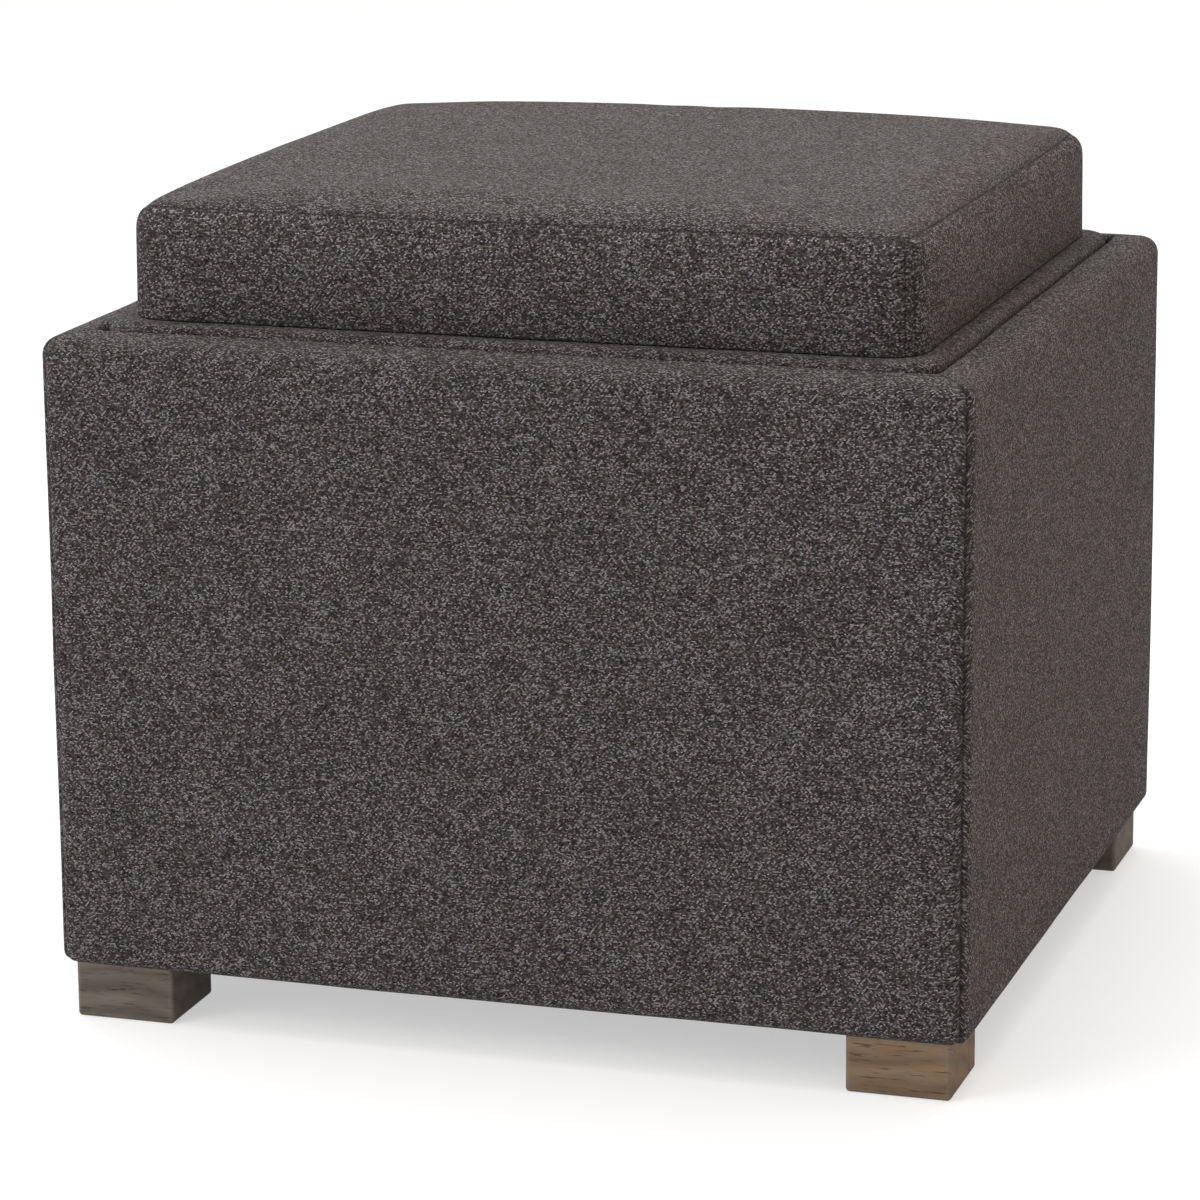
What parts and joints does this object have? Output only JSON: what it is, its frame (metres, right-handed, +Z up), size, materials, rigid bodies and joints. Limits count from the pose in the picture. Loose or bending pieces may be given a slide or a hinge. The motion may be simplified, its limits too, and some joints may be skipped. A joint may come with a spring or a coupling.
{
  "type": "storage ottoman",
  "caption": "Square upholstered storage ottoman on block feet, with a loose padded cushion lid that turns over into a serving tray.",
  "frame": {"origin": "on the floor under the middle of the box", "axes": "+Z up, +X to the right along the front, the front faces -Y"},
  "size_m": [0.45, 0.43, 0.4027],
  "materials": {
    "upholstery": "matt charcoal plain weave with pale flecks",
    "foam": "matt open-cell foam",
    "wadding": "matt polyester wadding",
    "board": "raw engineered board",
    "softwood": "planed softwood",
    "lining_cloth": "matt nonwoven",
    "dust_cover_cloth": "matt nonwoven",
    "tray_wood": "satin stained wood",
    "foot_wood": "weathered grey-brown stain",
    "steel": "zinc plated"
  },
  "bodies": {
    "box": {"back_board": "board", "back_cover": "upholstery", "back_ledge": "softwood", "back_left_foot": "foot_wood", "back_lining": "lining_cloth", "back_padding": "foam", "back_right_foot": "foot_wood", "base_board": "board", "base_screws": "steel", "corner_screws": "steel", "dust_cloth": "dust_cover_cloth", "dust_cloth_staples": "steel", "floor_lining": "lining_cloth", "foot_bolts": "steel", "front_board": "board", "front_cover": "upholstery", "front_ledge": "softwood", "front_left_foot": "foot_wood", "front_lining": "lining_cloth", "front_padding": "foam", "front_right_foot": "foot_wood", "ledge_screws": "steel", "left_board": "board", "left_cover": "upholstery", "left_ledge": "softwood", "left_lining": "lining_cloth", "left_padding": "foam", "right_board": "board", "right_cover": "upholstery", "right_ledge": "softwood", "right_lining": "lining_cloth", "right_padding": "foam", "tee_nuts": "steel"},
    "lid": {"back_tray_rail": "tray_wood", "cushion_back_boxing": "upholstery", "cushion_base_cloth": "upholstery", "cushion_foam": "foam", "cushion_front_boxing": "upholstery", "cushion_left_boxing": "upholstery", "cushion_right_boxing": "upholstery", "cushion_top_cover": "upholstery", "cushion_wadding": "wadding", "front_tray_rail": "tray_wood", "left_tray_rail": "tray_wood", "lid_board": "board", "lid_cover": "upholstery", "lid_wadding": "wadding", "rail_screws": "steel", "right_tray_rail": "tray_wood", "tray_floor": "tray_wood"}
  },
  "joints": [
    {"name": "lid_lift", "type": "slide", "parent": "box", "child": "lid", "axis": [0, 0, 1], "range_m": [0, 0.4]}
  ]
}
